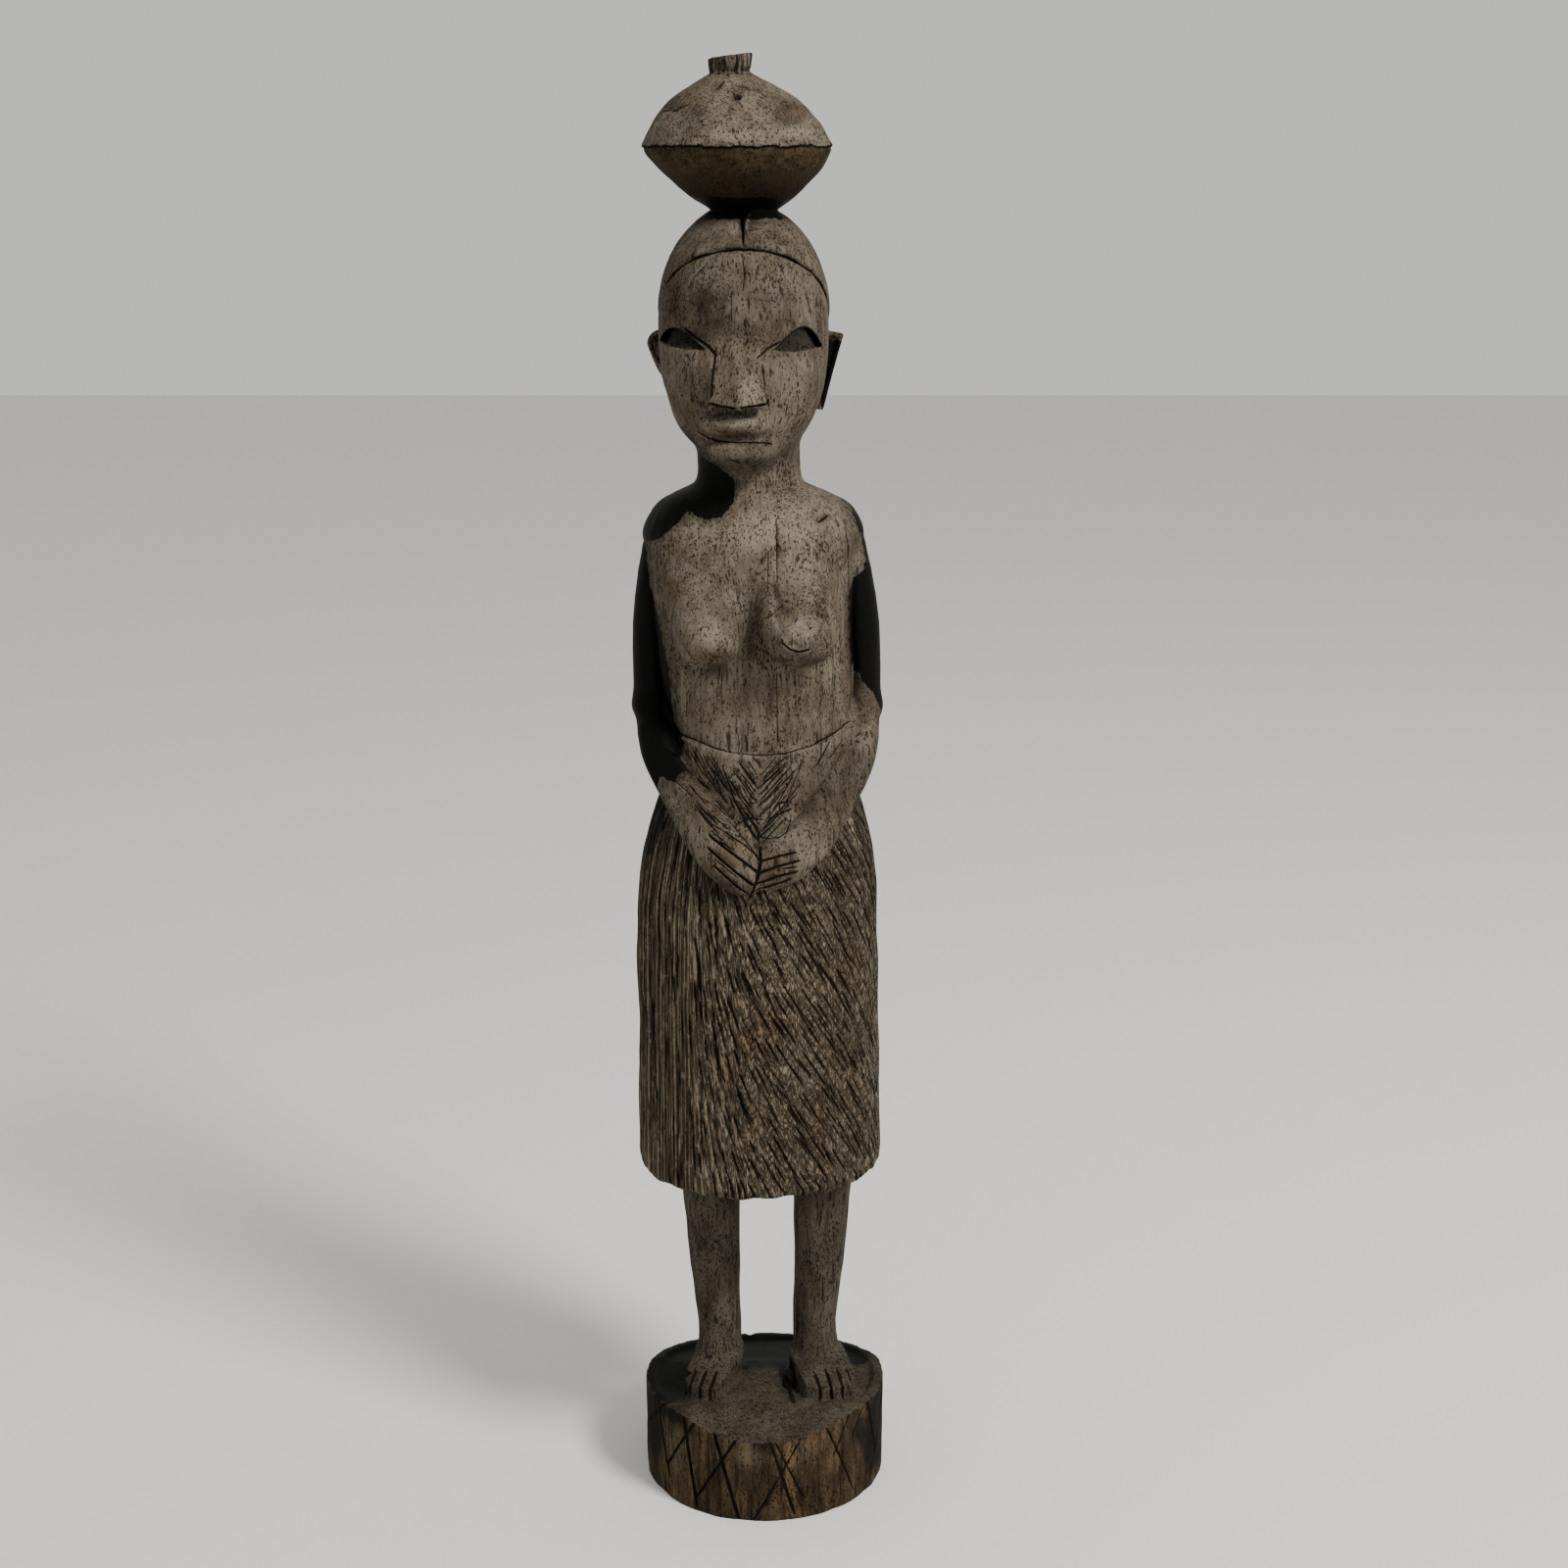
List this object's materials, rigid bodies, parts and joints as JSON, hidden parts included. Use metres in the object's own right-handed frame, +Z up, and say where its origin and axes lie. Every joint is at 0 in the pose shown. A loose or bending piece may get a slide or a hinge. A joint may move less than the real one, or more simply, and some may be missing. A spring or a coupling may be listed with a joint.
{
  "type": "carved standing woman figure",
  "caption": "Hardwood carving of a standing woman who carries a closed vessel on her head and folds her hands over a long skirt, on a round base.",
  "frame": {"origin": "middle of the flat underside of the round base, at floor level", "axes": "+Z up along the figure's height, the figure faces -Y, +X to the viewer's right"},
  "size_m": [0.0891, 0.0872, 0.5],
  "materials": {
    "weathered_wood": "dry, weathered hardwood with remains of its black polish"
  },
  "bodies": {
    "root": {"figure": "weathered_wood"}
  },
  "joints": []
}
